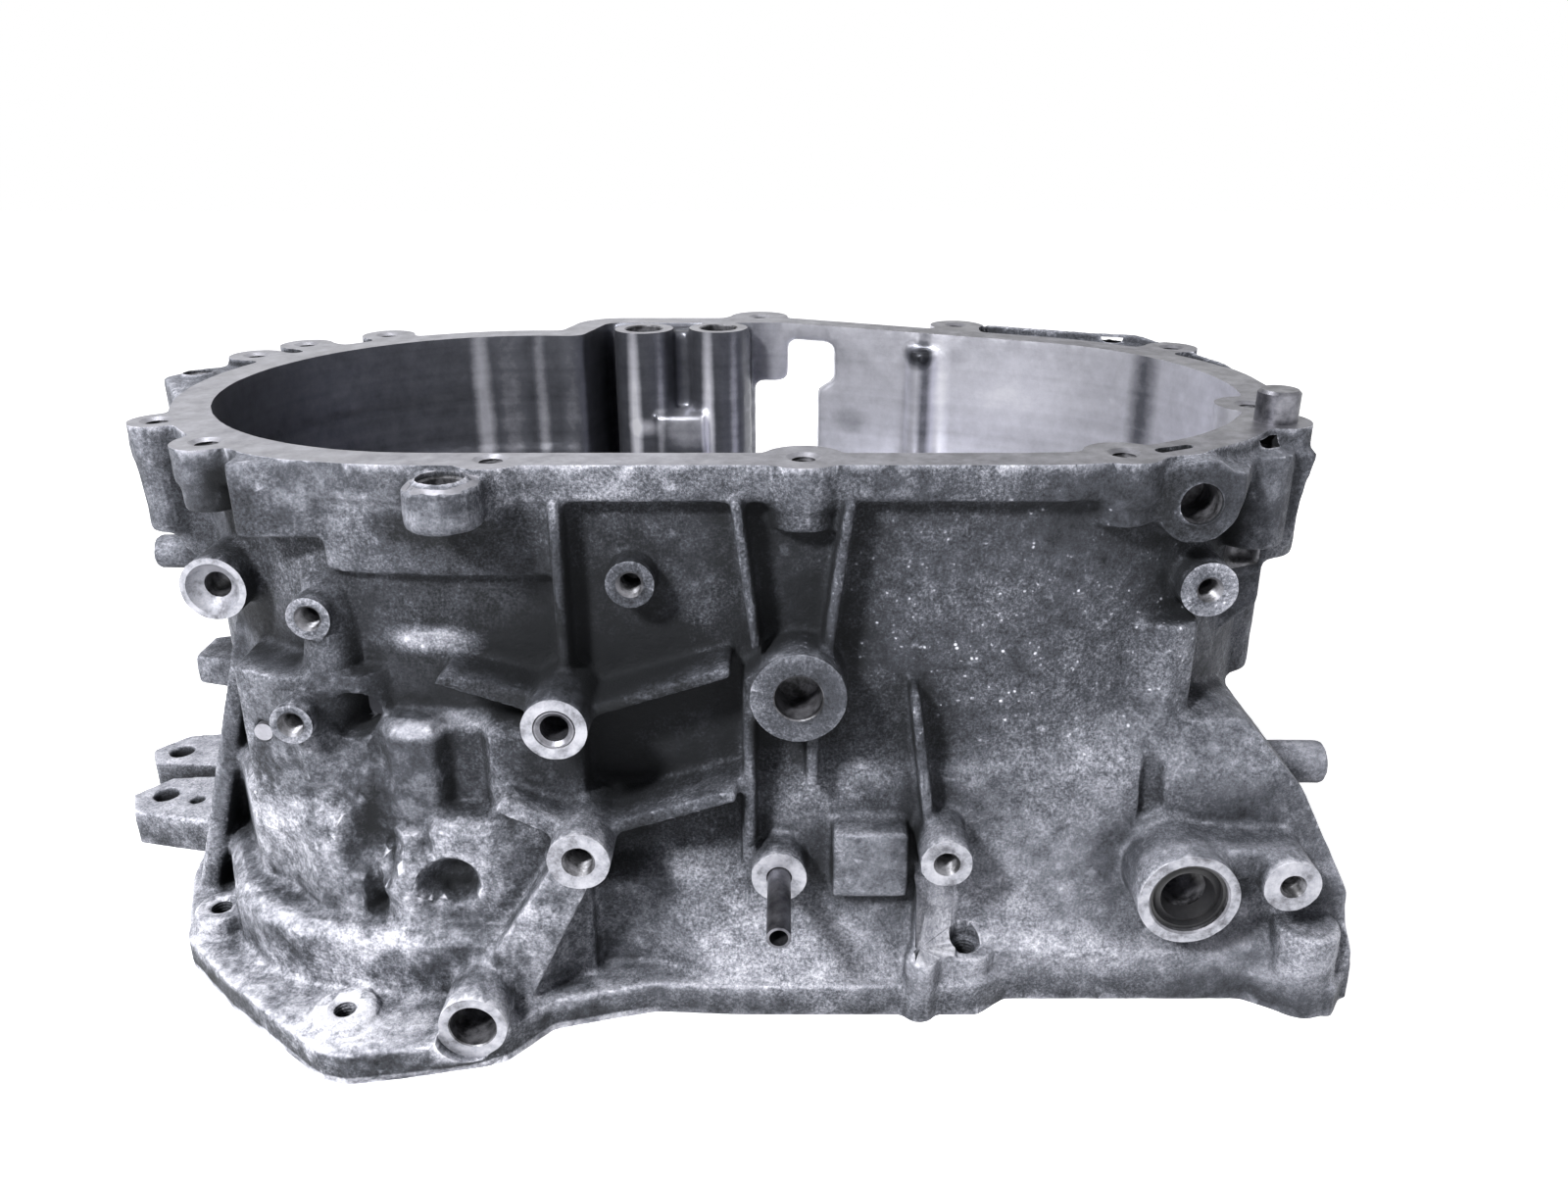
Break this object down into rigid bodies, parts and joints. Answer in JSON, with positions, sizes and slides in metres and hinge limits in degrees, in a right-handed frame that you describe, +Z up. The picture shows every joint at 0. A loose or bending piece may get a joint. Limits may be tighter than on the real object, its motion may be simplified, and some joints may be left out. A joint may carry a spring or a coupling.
{
  "type": "gearbox housing",
  "caption": "Die-cast gearbox housing with a long oval chamber for two shafts, a machined cover flange with tapped holes, a ribbed and bossed side wall and an open base flange",
  "frame": {"origin": "On the plane of the base flange, at the middle of the overall length and width", "axes": "+X along the length towards the shaft-seal end, +Y from the pictured wall to the far wall, +Z up out of the cover flange"},
  "size_m": [0.499, 0.3224, 0.2005],
  "materials": {
    "cast_aluminium": "sand-rough die-cast skin, stained and dull, with machined faces left bright",
    "dowel_steel": "ground and darkened, scuffed near the flange",
    "seal_rubber": "oily black rubber",
    "tube_steel": "drawn tube, dull",
    "insert_steel": "bright wire thread",
    "plug_aluminium": "bright pressed plug"
  },
  "bodies": {
    "root": {"gearbox_case": "cast_aluminium", "flange_dowel": "dowel_steel", "shaft_seal": "seal_rubber", "breather_tube": "tube_steel", "thread_insert": "insert_steel", "core_plug": "plug_aluminium"}
  },
  "joints": []
}
